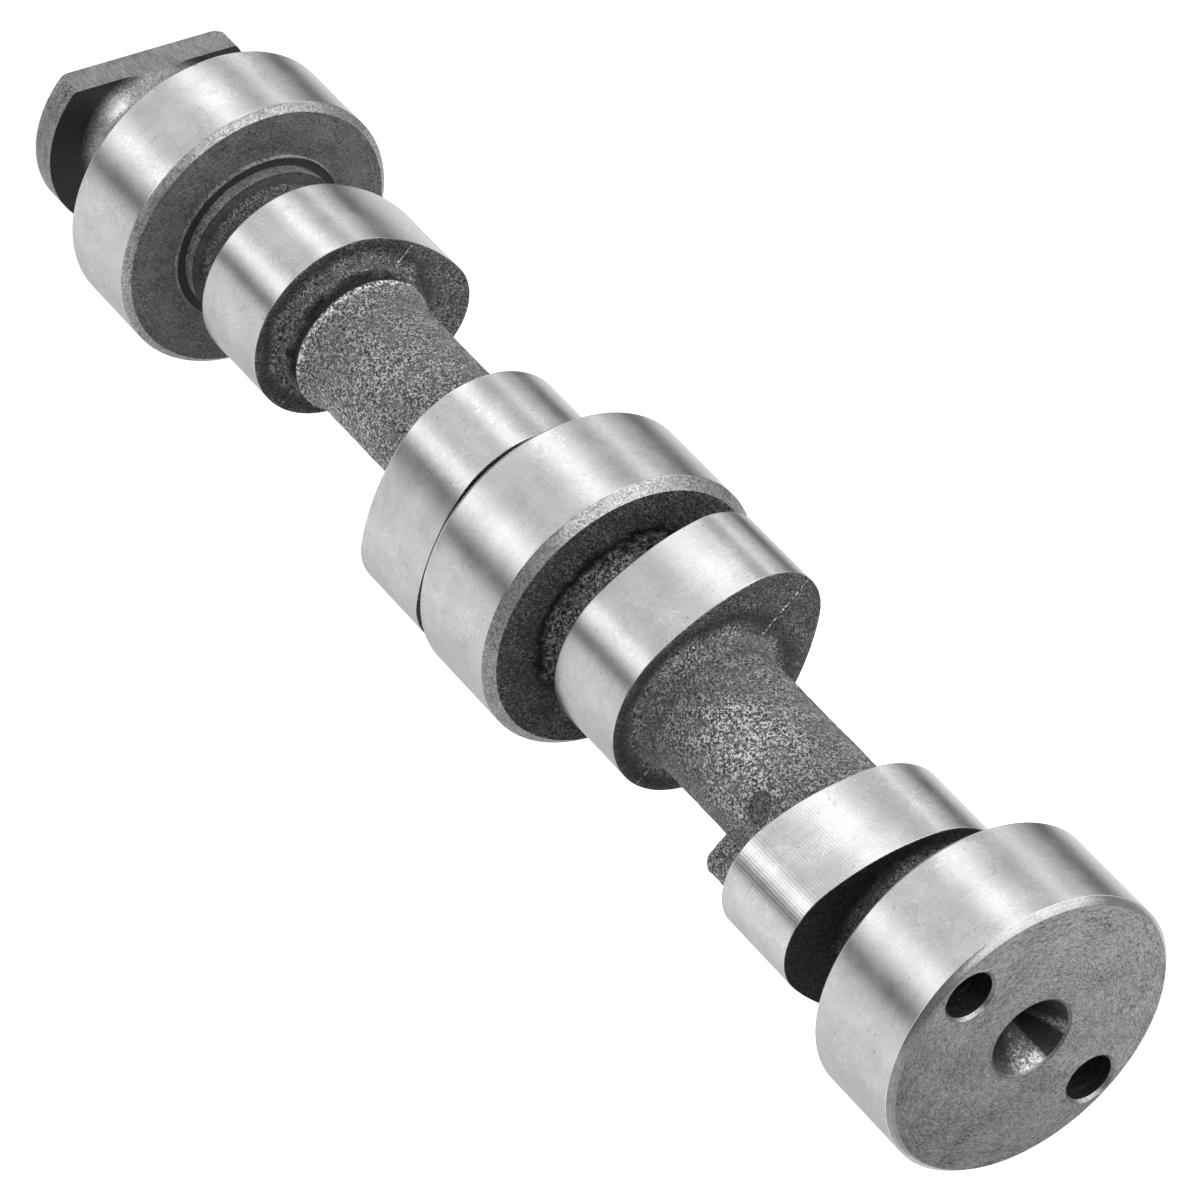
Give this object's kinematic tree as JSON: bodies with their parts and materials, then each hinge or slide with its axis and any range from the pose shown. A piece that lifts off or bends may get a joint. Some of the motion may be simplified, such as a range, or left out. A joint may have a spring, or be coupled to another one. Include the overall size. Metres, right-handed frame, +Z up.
{
  "type": "camshaft",
  "caption": "One-piece cast camshaft with ground bearing journals and cam lobes, a bolted gear face at one end and a flatted drive plate at the other.",
  "frame": {"origin": "centre of the rear end plate's outer face, on the shaft's axis, where the shaft stands", "axes": "+Z up along the shaft, from the rear end plate to the front journal's face; +X from the axis to one of the two gear bolt holes"},
  "size_m": [0.042, 0.042, 0.2116],
  "materials": {
    "cast_iron": "as cast between the lobes, ground bright on lobes and journals, turned on the end faces"
  },
  "bodies": {
    "root": {"camshaft": "cast_iron"}
  },
  "joints": []
}
